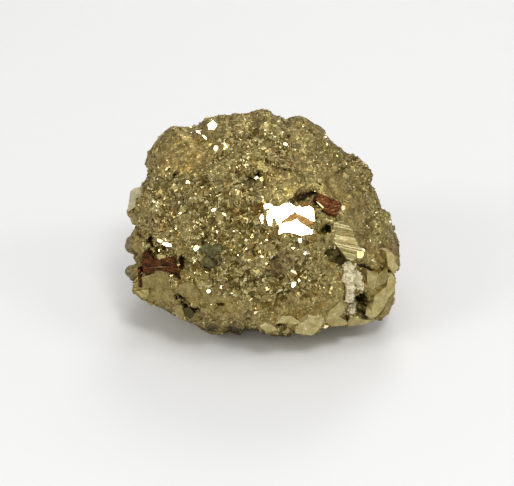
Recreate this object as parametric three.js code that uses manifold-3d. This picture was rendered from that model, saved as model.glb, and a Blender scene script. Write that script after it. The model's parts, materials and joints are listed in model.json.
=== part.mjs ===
// A hand-sized lump of pyrite: one grown mass of intergrown crystals, broken off flat underneath.
// Millimetres, X across the front, Y towards the back, Z up from the flat it rests on.
import * as THREE from "three";
import { mergeVertices } from "three/addons/utils/BufferGeometryUtils.js";
import Module from "manifold-3d";

const wasm = await Module();
wasm.setup();

// Driving dimensions of the whole lump.
const width = 65;
const depth = 50;
const height = 46.5;
const crownLean = THREE.MathUtils.degToRad(33); // the crown's ridge leans back by this

// The heart is the point that the whole skin can be seen from.
const heart = new THREE.Vector3(0, 0, 23);
const skinCells = 14; // splits of an icosahedron's edge
const lumpBlend = 1.5; // how far two lumps run into each other
const blendTrim = 0.62; // takes back what a spot under about two lumps gains from the blend
const crustRelief = 0.55; // height of the small bumps on the skin
const crustGrain = 3.2; // their spacing
const fineBumpShare = 0.6; // height of the bumps at half that spacing, as a share

// A place on the leaning plane of the crown: across the front, and along the lean from the heart.
function crown(across, along) {
  return new THREE.Vector3(
    across,
    along * Math.sin(crownLean),
    heart.z + along * Math.cos(crownLean),
  );
}

function place(x, y, z) {
  return new THREE.Vector3(x, y, z);
}

// Rounded lumps that the mass is grown from, each with its radius.
const lumps = [
  // crown, from the left shoulder over the top to the right
  { at: crown(-17.2, 12.9), radius: 11.8 },
  { at: crown(-8.7, 18.6), radius: 8.8 },
  { at: crown(-0.7, 19.7), radius: 8.6 },
  { at: crown(8.2, 17.4), radius: 8.7 },
  { at: crown(11, 9.5), radius: 9.8 },
  { at: crown(19.3, 9.6), radius: 7.3 },
  { at: crown(19, 1.5), radius: 8.7 },
  { at: crown(25.3, -1.4), radius: 6.9 },
  { at: crown(23.6, -7.5), radius: 9.5 },
  // the dome behind the crown's front
  { at: crown(-6, 9.5), radius: 15.4 },
  { at: crown(4, 8.5), radius: 15.2 },
  // left flank
  { at: crown(-21, 4), radius: 9 },
  { at: crown(-28, 4.4), radius: 4.7 },
  { at: crown(-27, 0), radius: 4 },
  { at: crown(-29.1, -4.8), radius: 4.1 },
  { at: crown(-29.2, -11.6), radius: 3.6 },
  { at: crown(-22.6, -9.4), radius: 8 },
  // foot along the front
  { at: crown(-20, -14), radius: 8.5 },
  { at: crown(-10, -17.5), radius: 9.4 },
  { at: crown(6, -17.5), radius: 10 },
  { at: crown(15, -16.5), radius: 9 },
  { at: crown(22, -15), radius: 9 },
  // belly
  { at: place(-14, -12, 15), radius: 11 },
  { at: place(-1, -14, 14), radius: 11 },
  { at: place(12, -13, 15), radius: 11 },
  // back
  { at: place(-16, 11, 14), radius: 11 },
  { at: place(-2, 14.5, 12), radius: 10.5 },
  { at: place(13, 13, 13), radius: 10.5 },
  { at: place(22, 6, 11), radius: 9.5 },
  { at: place(-22, 4, 10), radius: 9 },
  { at: place(-6, 13, 26), radius: 11 },
  { at: place(10, 13, 25), radius: 10.5 },
];

// Broad lumps cut through by the flat it rests on.
const baseLumps = [
  { at: place(-13, 1, 8), radius: 12.6 },
  { at: place(2, 2, 8), radius: 13.4 },
  { at: place(15, 0, 8), radius: 12.4 },
  { at: place(-8, 11, 8), radius: 12 },
  { at: place(8, 11, 8), radius: 12.4 },
  { at: place(-3, -5.4, 6.6), radius: 10 },
];

const core = { at: heart, radii: new THREE.Vector3(27.5, 22.5, 21) };

// Repeatable random numbers from 0 to 1: a linear congruential generator.
const generator = { factor: 1664525, step: 1013904223, range: 2 ** 32 };

function seeded(seed) {
  let state = seed;
  return () => {
    state = (state * generator.factor + generator.step) % generator.range;
    return state / generator.range;
  };
}

// A scattered but repeatable value from 0 to 1 for each corner of the noise's cells.
const latticeStride = place(127.1, 311.7, 74.7);
const latticeSpread = 43758.5453;

function latticeValue(x, y, z) {
  const mixed = Math.sin(place(x, y, z).dot(latticeStride)) * latticeSpread;
  return mixed - Math.floor(mixed);
}

// Smooth value noise from 0 to 1.
function noise(p) {
  const cell = p.clone().floor();
  const f = p.clone().sub(cell);
  const ease = (t) => t * t * (3 - 2 * t);
  const u = place(ease(f.x), ease(f.y), ease(f.z));
  let sum = 0;
  for (const [dx, dy, dz] of [
    [0, 0, 0], [1, 0, 0], [0, 1, 0], [1, 1, 0], [0, 0, 1], [1, 0, 1], [0, 1, 1], [1, 1, 1],
  ]) {
    const share =
      (dx ? u.x : 1 - u.x) * (dy ? u.y : 1 - u.y) * (dz ? u.z : 1 - u.z);
    sum += share * latticeValue(cell.x + dx, cell.y + dy, cell.z + dz);
  }
  return sum;
}

// How far out along a direction from the heart a sphere reaches, or 0 if it is missed.
function reachOf(offset, radius, direction) {
  const along = offset.dot(direction);
  const inside = along * along - offset.lengthSq() + radius * radius;
  return inside < 0 ? 0 : along + Math.sqrt(inside);
}

function skinReach(direction) {
  const scaled = direction.clone().divide(core.radii);
  const reaches = [1 / scaled.length()];
  for (const { at, radius } of [...lumps, ...baseLumps]) {
    reaches.push(reachOf(at.clone().sub(heart), radius, direction));
  }
  const furthest = Math.max(...reaches);
  const soft = reaches.reduce((sum, r) => sum + Math.exp((r - furthest) / lumpBlend), 0);
  const smooth = furthest + lumpBlend * (Math.log(soft) - blendTrim);
  const spot = heart.clone().addScaledVector(direction, smooth);
  const bumps =
    noise(spot.clone().divideScalar(crustGrain)) - 0.5 +
    (noise(spot.clone().divideScalar(crustGrain / 2)) - 0.5) * fineBumpShare;
  return smooth + crustRelief * 2 * bumps;
}

// A closed three.js geometry as a solid for joining and cutting.
function solidOf(geometry) {
  const bare = geometry.clone();
  bare.deleteAttribute("normal");
  bare.deleteAttribute("uv");
  const merged = mergeVertices(bare, 1e-4);
  return new wasm.Manifold(
    new wasm.Mesh({
      numProp: 3,
      vertProperties: merged.attributes.position.array,
      triVerts: new Uint32Array(merged.index.array),
    }),
  );
}

function grownMass() {
  const ball = new THREE.IcosahedronGeometry(1, skinCells);
  const spots = ball.attributes.position;
  const direction = new THREE.Vector3();
  for (let i = 0; i < spots.count; i++) {
    direction.fromBufferAttribute(spots, i).normalize();
    const spot = heart.clone().addScaledVector(direction, skinReach(direction));
    spots.setXYZ(i, spot.x, spot.y, spot.z);
  }
  return solidOf(ball);
}

// A block whose outer face is centred on a spot and looks along facing: [degrees round from the
// front towards the right, degrees up]. Roll turns it anticlockwise on that face.
function block({ at, size, facing, roll = 0 }) {
  const [across, along, deep] = size;
  const geometry = new THREE.BoxGeometry(across, along, deep);
  geometry.translate(0, 0, -deep / 2);
  geometry.rotateZ(THREE.MathUtils.degToRad(roll));
  geometry.rotateX(THREE.MathUtils.degToRad(90 - facing[1]));
  geometry.rotateZ(THREE.MathUtils.degToRad(facing[0]));
  geometry.translate(at.x, at.y, at.z);
  return solidOf(geometry);
}

// The large crystals of the front, by the face that shows.
const frontCrystals = {
  "mirror step upper": { at: place(6.3, -16.3, 36.4), size: [11.8, 4.6, 6], facing: [12, 46], roll: -5 },
  "mirror step lower": { at: place(7.9, -18.3, 33.7), size: [7.8, 3.9, 6], facing: [12, 46], roll: -3 },
  "rusty upper": { at: place(14.7, -12.4, 36), size: [6.2, 3.4, 4], facing: [24, 40], roll: -24 },
  "striated": { at: place(18.6, -15.6, 28.2), size: [4.2, 10, 6], facing: [20, 34], roll: 33 },
  "right rim top": { at: place(29.6, -9.6, 17), size: [4.2, 6, 5], facing: [42, 6], roll: -12 },
  "right rim middle": { at: place(26.4, -14, 15.4), size: [6, 4.8, 6], facing: [22, 10], roll: -8 },
  "right foot": { at: place(28, -12.8, 8.6), size: [5.4, 11, 9], facing: [36, -6], roll: -17 },
  "right sill": { at: place(23.4, -15.4, 5.8), size: [10.4, 3, 8], facing: [10, -24], roll: 6 },
  "front sill right": { at: place(15.4, -21, 9.8), size: [5, 4, 6], facing: [16, -12], roll: 26 },
  "front sill": { at: place(10.8, -22.3, 8), size: [7, 4.4, 6], facing: [4, -22], roll: 10 },
  "front sill slab": { at: place(5.4, -23.1, 10.2), size: [7, 2.6, 5], facing: [-6, -4], roll: -14 },
  "front sill left": { at: place(1.2, -23.6, 8.8), size: [5, 2.8, 5], facing: [-4, -16], roll: -22 },
  "left slab": { at: place(-25.4, -15, 14.3), size: [10, 6.8, 8], facing: [-24, 6], roll: -12 },
  "rusty left": { at: place(-23, -15.2, 19.2), size: [8.8, 4.8, 6], facing: [-22, 12], roll: 4 },
  "left shelf": { at: place(-17, -22, 17.6), size: [5.4, 4.2, 4], facing: [-16, 14], roll: -18 },
  "left shelf low": { at: place(-13.4, -22.6, 14.6), size: [4.4, 3.2, 4], facing: [-14, 6], roll: -22 },
};

// Holes and cracks between crystals of the front, by their mouth.
const frontPits = {
  "above the mirrors": { at: place(10.3, -12.8, 39.4), size: [5, 2.2, 4], facing: [18, 50], roll: -12 },
  "by the striated one": { at: place(14.1, -18, 33.2), size: [1.7, 1.7, 5.6], facing: [12, 30], roll: 10 },
  "under the striated one": { at: place(17.6, -18.4, 25.6), size: [2.6, 6, 3.4], facing: [26, 16], roll: 36 },
  "above the right foot": { at: place(22.6, -18.4, 12), size: [5.4, 6, 6], facing: [28, 0], roll: 12 },
  "left eye": { at: place(-26.8, -8.4, 23.3), size: [2, 1.8, 4.4], facing: [-40, 30], roll: -30 },
  "top hollow": { at: place(-1.4, -10.2, 42.8), size: [4, 3.2, 3.6], facing: [-8, 55], roll: -28 },
  "crown crack": { at: place(-6.2, 2.8, 46.2), size: [3.6, 1.2, 4.4], facing: [0, 60], roll: -20 },
  "under the left shelf": { at: place(-17.6, -22.2, 14.4), size: [4.6, 1.4, 4], facing: [-26, 0], roll: -28 },
};

// Crystals round the sides and back, scattered on the skin below the crown.
const flankCrystals = {
  count: 24,
  from: 104, // degrees round from the front
  to: 250,
  low: -30, // degrees up
  high: 24,
  small: 3.4, // side
  large: 7.4,
  flattest: 0.7, // shortest side of a face, as a share of its longest
  squarest: 1.1,
  proudest: 1, // how far a face stands off the skin
  leastProud: 0.2,
  upright: 0.6, // 1 looks straight out of the skin, 0 looks level
  stray: 0.3, // share of the gap to the next crystal that one strays round
  turn: 14, // degrees a face strays round
  nod: 12, // degrees it strays up
  roll: 45,
  seed: 7,
};

function flankBlocks() {
  const c = flankCrystals;
  const random = seeded(c.seed);
  const between = (a, b) => a + (b - a) * random();
  return Array.from({ length: c.count }, (_, i) => {
    const round = c.from + ((c.to - c.from) * (i + between(-c.stray, c.stray))) / (c.count - 1);
    const up = between(c.low, c.high);
    const [a, e] = [round, up].map(THREE.MathUtils.degToRad);
    const out = place(Math.sin(a) * Math.cos(e), -Math.cos(a) * Math.cos(e), Math.sin(e));
    const proud = between(c.leastProud, c.proudest);
    const at = heart.clone().addScaledVector(out, skinReach(out) + proud);
    const side = between(c.small, c.large);
    const size = [side, side * between(c.flattest, c.squarest), side];
    const facing = [round + between(-c.turn, c.turn), up * c.upright + between(-c.nod, c.nod)];
    return block({ at, size, facing, roll: between(-c.roll, c.roll) });
  });
}

function underside() {
  const slab = new THREE.BoxGeometry(2 * width, 2 * depth, height);
  slab.translate(0, 0, -height / 2);
  return solidOf(slab);
}

// Everything that grew together, less its holes, cut flat where it was broken off.
function specimenSolid() {
  let solid = grownMass();
  for (const crystal of [...Object.values(frontCrystals).map(block), ...flankBlocks()]) {
    solid = solid.add(crystal);
  }
  for (const pit of Object.values(frontPits)) {
    solid = solid.subtract(block(pit));
  }
  return solid.subtract(underside());
}

// The solid as a named mesh, brought to the driving dimensions and centred over the origin.
function meshOf(solid, name, material) {
  const { vertProperties, triVerts } = solid.getMesh();
  const geometry = new THREE.BufferGeometry();
  geometry.setAttribute("position", new THREE.BufferAttribute(vertProperties, 3));
  geometry.setIndex(new THREE.BufferAttribute(triVerts, 1));
  geometry.computeBoundingBox();
  const middle = geometry.boundingBox.getCenter(place(0, 0, 0));
  const size = geometry.boundingBox.getSize(place(0, 0, 0));
  geometry.translate(-middle.x, -middle.y, -geometry.boundingBox.min.z);
  geometry.scale(width / size.x, depth / size.y, height / size.z);
  geometry.computeVertexNormals();
  const mesh = new THREE.Mesh(geometry, material);
  mesh.name = name;
  return mesh;
}

const pyrite = new THREE.MeshStandardMaterial({ color: 0x8f7f52, roughness: 0.35, metalness: 1 });
const specimen = new THREE.Group();
specimen.add(meshOf(specimenSolid(), "pyrite_mass", pyrite));

export default specimen;
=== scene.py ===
import json
import math

import bmesh
import bpy
import numpy as np
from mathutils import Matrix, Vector, noise
from mathutils.bvhtree import BVHTree
from mathutils.kdtree import KDTree

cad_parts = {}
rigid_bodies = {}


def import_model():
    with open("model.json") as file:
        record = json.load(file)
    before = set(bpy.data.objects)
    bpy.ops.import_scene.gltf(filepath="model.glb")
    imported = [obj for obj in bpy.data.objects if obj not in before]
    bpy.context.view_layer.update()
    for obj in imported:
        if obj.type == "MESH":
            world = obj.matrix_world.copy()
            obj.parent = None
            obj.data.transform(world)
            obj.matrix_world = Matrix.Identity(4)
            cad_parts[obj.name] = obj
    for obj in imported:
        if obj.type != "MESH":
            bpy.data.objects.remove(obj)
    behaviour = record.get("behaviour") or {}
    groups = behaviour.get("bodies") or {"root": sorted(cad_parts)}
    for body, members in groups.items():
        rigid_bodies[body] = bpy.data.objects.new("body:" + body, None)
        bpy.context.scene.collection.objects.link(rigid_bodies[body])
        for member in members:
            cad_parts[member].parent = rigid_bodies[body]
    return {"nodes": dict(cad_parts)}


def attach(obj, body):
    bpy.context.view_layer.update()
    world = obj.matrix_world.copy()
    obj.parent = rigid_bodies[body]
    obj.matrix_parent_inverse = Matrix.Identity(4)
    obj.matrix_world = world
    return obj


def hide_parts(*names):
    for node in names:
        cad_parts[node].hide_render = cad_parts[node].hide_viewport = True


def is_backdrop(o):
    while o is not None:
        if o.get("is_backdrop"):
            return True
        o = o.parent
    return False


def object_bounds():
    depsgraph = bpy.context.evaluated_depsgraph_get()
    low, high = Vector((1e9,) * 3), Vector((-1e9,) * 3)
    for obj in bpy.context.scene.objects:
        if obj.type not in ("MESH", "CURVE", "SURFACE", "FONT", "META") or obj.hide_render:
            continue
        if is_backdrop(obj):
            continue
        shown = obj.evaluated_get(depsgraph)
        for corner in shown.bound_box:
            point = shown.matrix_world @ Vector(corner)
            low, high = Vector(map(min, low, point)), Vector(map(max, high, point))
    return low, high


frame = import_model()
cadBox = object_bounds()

mm = 0.001
tiny = 1e-12  # keeps a division from having nothing under it
heart = Vector((0, 0, 23 * mm))  # the middle of the lump, and of its leaning face

def direction(around, up):
    # degrees round from the front towards the right, and degrees up
    a, e = math.radians(around), math.radians(up)
    return Vector((math.sin(a) * math.cos(e), -math.cos(a) * math.cos(e), math.sin(e)))


viewing = {
    "elevation": 33,
    "distance": 420 * mm,
    "lens": 125,
    "sensor": 36,
    "asideRight": -1.41 * mm,  # moves the camera sideways without turning it
    "asideUp": -4.71 * mm,
}

toViewer = direction(0, viewing["elevation"])
rightward = Vector((1, 0, 0))
upward = toViewer.cross(rightward)
eye = (
    heart
    + toViewer * viewing["distance"]
    + rightward * viewing["asideRight"]
    + upward * viewing["asideUp"]
)


def makeCamera():
    lens = bpy.data.cameras.new("viewer")
    lens.lens = viewing["lens"]
    lens.sensor_width = viewing["sensor"]
    lens.clip_start = 10 * mm
    lens.clip_end = 10
    viewer = bpy.data.objects.new("viewer", lens)
    viewer.location = eye
    viewer.rotation_euler = (math.radians(90 - viewing["elevation"]), 0, 0)
    bpy.context.scene.collection.objects.link(viewer)
    bpy.context.scene.camera = viewer


makeCamera()
print("camera ready")


def leaning(across, along):
    # a place on the leaning face: millimetres across it and up it from the heart
    return heart + rightward * across * mm + upward * along * mm


def faceOn(points):
    # where places lie on the leaning face, as the viewer sees them: across and along in mm
    offset = points - np.array(eye)
    depth = -offset @ np.array(toViewer)
    hit = np.array(eye) + offset * (viewing["distance"] / depth)[:, None] - np.array(heart)
    return hit @ np.array(rightward) / mm, hit @ np.array(upward) / mm


def makeObject(name, mesh):
    piece = bpy.data.objects.new(name, mesh)
    bpy.context.scene.collection.objects.link(piece)
    return piece


def meshFrom(name, points, faces):
    # faces is one array with the same number of corners in every row
    mesh = bpy.data.meshes.new(name)
    corners = faces.shape[1]
    mesh.vertices.add(len(points))
    mesh.vertices.foreach_set("co", points.astype(np.float32).ravel())
    mesh.loops.add(faces.size)
    mesh.loops.foreach_set("vertex_index", faces.astype(np.int32).ravel())
    mesh.polygons.add(len(faces))
    mesh.polygons.foreach_set("loop_start", np.arange(0, faces.size, corners, dtype=np.int32))
    mesh.update(calc_edges=True)
    mesh.shade_flat()
    return mesh


def addLayer(mesh, name, values):
    layer = mesh.attributes.new(name, "FLOAT", "POINT")
    layer.data.foreach_set("value", np.asarray(values, dtype=np.float32))


def placesOf(mesh):
    found = np.empty(len(mesh.vertices) * 3, np.float32)
    mesh.vertices.foreach_get("co", found)
    return found.reshape(-1, 3).astype(float)


def facesOf(mesh):
    # every face split into triangles
    mesh.calc_loop_triangles()
    found = np.empty(len(mesh.loop_triangles) * 3, np.int32)
    mesh.loop_triangles.foreach_get("vertices", found)
    return found.reshape(-1, 3)


def outwardOf(points, triangles):
    # the smooth direction out of the surface at every point
    a, b, c = (points[triangles[:, i]] for i in range(3))
    across = np.cross(b - a, c - a)
    total = np.zeros_like(points)
    for i in range(3):
        for axis in range(3):
            total[:, axis] += np.bincount(triangles[:, i], across[:, axis], len(points))
    return unit(total)


def unit(rows):
    return rows / np.maximum(np.linalg.norm(rows, axis=-1, keepdims=True), tiny)


def smoothStep(low, high, value):
    t = np.clip((value - low) / (high - low), 0, 1)
    return t * t * (3 - 2 * t)


def turned(a, b, degrees):
    t = math.radians(degrees)
    return a * math.cos(t) - b * math.sin(t), a * math.sin(t) + b * math.cos(t)


def evenMesh(mesh, voxel, melting=0):
    # the points and triangles of a mesh remade in even faces, with its bumps melted down
    piece = makeObject(mesh.name, mesh)
    even = piece.modifiers.new("even", "REMESH")
    even.mode = "VOXEL"
    even.voxel_size = voxel
    if melting:
        melt = piece.modifiers.new("melt", "SMOOTH")
        melt.factor = 0.5
        melt.iterations = melting
    graph = bpy.context.evaluated_depsgraph_get()
    remade = bpy.data.meshes.new_from_object(piece.evaluated_get(graph))
    bpy.data.objects.remove(piece)
    return placesOf(remade), facesOf(remade)


skin = {
    "voxel": 0.41 * mm,
    "smoothing": 7,
    "swells": (7.0, 0.34),  # spacing and height in mm
    "knobs": (2.6, 0.26),
    "grit": (0.9, 0.09),
    "calming": 0.45,  # share of those heights that a calm place loses
    "footFade": (0.2 * mm, 2.5 * mm),  # the heights over which they grow in
    "area": 10300,  # square millimetres of it
    "facetSpacing": 1.15,  # mm
    "facetTilt": 24,  # degrees
    "facetSeed": 3,
    "facetStep": (-0.1, 0.14),  # mm that a whole facet stands off
    "facetDrop": 0.32 * mm,  # the most that its surface rises or sinks
}


def smoothSkin():
    # the CAD lump with its triangles melted away
    source = frame["nodes"]["pyrite_mass"].data
    work = bmesh.new()
    work.from_mesh(source)
    bmesh.ops.remove_doubles(work, verts=work.verts, dist=1e-6)
    mesh = bpy.data.meshes.new("skinStart")
    work.to_mesh(mesh)
    work.free()
    return evenMesh(mesh, skin["voxel"], skin["smoothing"])


rim = {
    # the lump's outline on the leaning face, in mm, clockwise from the left end of the foot
    "outline": [
        (-30.1, -1), (-31.2, 0.6), (-32.1, 1.9), (-32.2, 2.8), (-31.6, 4.7), (-31.5, 6.3), (-30.4, 7.9),
        (-29, 8.3), (-28.7, 9.2), (-27.6, 10.4), (-27.2, 12.2), (-27.9, 14.1), (-27.2, 16.4),
        (-25.8, 18.6), (-24.3, 20.6), (-22.7, 22.1), (-21.5, 22.9), (-20, 22.9), (-18.4, 22.7),
        (-15.5, 23.1), (-14.1, 24.2), (-13.7, 24.8), (-12, 25), (-10.4, 25.5), (-8.9, 25.6),
        (-8.1, 25.4), (-7.3, 25.8), (-6.3, 26), (-5.2, 25.8), (-3.3, 26), (-2.5, 26.4), (-1.1, 26.7),
        (-0.2, 26.9), (0.8, 26.8), (1.8, 26.4), (2.7, 25.4), (4.2, 25.2), (5.1, 24.5), (5.8, 24.5),
        (6.5, 25), (8.1, 25.3), (9.4, 25.1), (10.6, 24.6), (12.1, 23.5), (13.3, 23), (14.5, 22.1),
        (15.3, 20.5), (16.1, 19.4), (18.2, 17.8), (20, 16.4), (21.2, 16.4), (22.7, 15.3), (24.6, 13.7),
        (25.6, 12.4), (25.9, 10.8), (25.5, 9.2), (26.4, 7.9), (27.3, 5.9), (28.1, 3.5), (29.9, 2.4),
        (30.4, -0.2), (30.9, -2), (32, -3.9), (32.2, -6), (32.3, -8.6), (32.3, -10), (32, -10.8),
        (30.9, -12), (31.4, -13), (31.1, -14.9), (30.8, -16.6), (30.9, -18.8), (30.1, -20.1),
        (29, -21.6), (28.1, -22.7), (27, -23), (23.6, -23.8), (19.9, -24.2), (18.4, -24.4),
        (16.2, -24.4), (15, -24.6), (13.2, -25.7), (11.5, -26.6), (9.8, -26.7), (7.6, -26.1),
        (3.3, -26.5), (0.7, -26.3), (-1.4, -25.2), (-4.1, -25.1), (-5.4, -26.5), (-8.3, -25.8),
        (-10.6, -26.4), (-12.2, -26.3), (-14.3, -25.4), (-15.3, -24.5), (-16.5, -23.8), (-18.4, -23.2),
        (-21, -21.9), (-23.3, -20.5), (-25.8, -19.4), (-29.7, -17.4), (-30.8, -16.3), (-30.7, -13.5),
        (-31.5, -12.7), (-32, -11.6), (-31.5, -10.2), (-30.2, -9.4), (-30.9, -7.3), (-32.1, -6.9),
        (-32.4, -5.5), (-31.5, -3.2),
    ],
    "steps": 720,  # directions round the heart that the outline is compared in
    "inner": 0.5,  # share of the way out where the fitting starts
    "trim": 0.12 * mm,  # left over for the crystals
    "margin": 0.4 * mm,  # the hidden faces stay this far inside
    "level": 4 * mm,  # below this height the skin is only moved level
}


def radiusOfRim(angles):
    # how far the outline is from the heart in each direction, in m
    corners = np.array(rim["outline"]) * mm
    found = np.zeros(len(angles))
    along = np.stack([np.cos(angles), np.sin(angles)], 1)
    for a, b in zip(corners, np.roll(corners, -1, axis=0)):
        side = b - a
        cross = along[:, 0] * side[1] - along[:, 1] * side[0]
        reach = (a[0] * side[1] - a[1] * side[0]) / cross
        share = (a[0] * along[:, 1] - a[1] * along[:, 0]) / cross
        found = np.where((share >= 0) & (share <= 1) & (reach > found), reach, found)
    return found


def insideRim(corners):
    across, along = faceOn(np.array(corners))
    gap = radiusOfRim(np.arctan2(along, across)) - np.hypot(across, along) * mm
    return gap.min() > rim["margin"]


def fitRim(points):
    # slides the skin across the viewer's sight until its outline is the rim's
    across, along = faceOn(points)
    angle, radius = np.arctan2(along, across), np.hypot(across, along) * mm
    steps = rim["steps"]
    slot = ((angle / math.tau + 0.5) * steps).astype(int) % steps
    widest = np.zeros(steps)
    np.maximum.at(widest, slot, radius)
    widest = np.maximum(widest, (np.roll(widest, 1) + np.roll(widest, -1)) / 2)
    centres = (np.arange(steps) + 0.5) / steps * math.tau - math.pi
    gap = radiusOfRim(centres) - rim["trim"] - widest
    share = (angle / math.tau + 0.5) * steps - 0.5
    low = np.floor(share).astype(int)
    shift = gap[low % steps] * (1 - share + low) + gap[(low + 1) % steps] * (share - low)
    shift *= smoothStep(rim["inner"], 1, radius / widest[slot])
    move = np.outer(shift * np.cos(angle), np.array(rightward))
    move += np.outer(shift * np.sin(angle), np.array(upward))
    lift = move[:, 2] * (1 - smoothStep(0, rim["level"], points[:, 2]))
    move[:, 2] -= lift
    move[:, 1] += lift * upward.z / upward.y
    fitted = points + move
    fitted[:, 2] = np.maximum(fitted[:, 2], 0)
    return fitted


skinPoints, skinTriangles = smoothSkin()
skinPoints = fitRim(skinPoints)
skinOut = outwardOf(skinPoints, skinTriangles)
skinSeen = skinOut @ np.array(toViewer)  # 1 where the skin faces the viewer, -1 where it faces away
skinTree = BVHTree.FromPolygons(skinPoints.tolist(), skinTriangles.tolist())
print("skin ready:", len(skinPoints), "points,", len(skinTriangles), "triangles")


def touch(across, along, tree=skinTree):
    # where the viewer's line through a place on the leaning face meets the skin
    line = (leaning(across, along) - eye).normalized()
    spot, out, _, _ = tree.ray_cast(eye, line)
    if spot is None:
        spot, out, _, _ = tree.find_nearest(leaning(across, along))
    return spot, out


lights = {  # direction (degrees round, up), distance and side in m, and radiance
    "key": {"around": 24, "up": 60, "away": 0.55, "side": 0.13, "glow": 16},
    "left window": {"around": -62, "up": 34, "away": 0.6, "side": 0.16, "glow": 8.5},
    "right window": {"around": 74, "up": 40, "away": 0.6, "side": 0.14, "glow": 7},
    "back window": {"around": 170, "up": 42, "away": 0.6, "side": 0.2, "glow": 6},
    "roof": {"around": 0, "up": 88, "away": 0.7, "side": 0.5, "glow": 1},
}
keyward = direction(lights["key"]["around"], lights["key"]["up"])
flashing = (keyward + toViewer).normalized()  # where a face looks that throws the key light at the viewer

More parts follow.
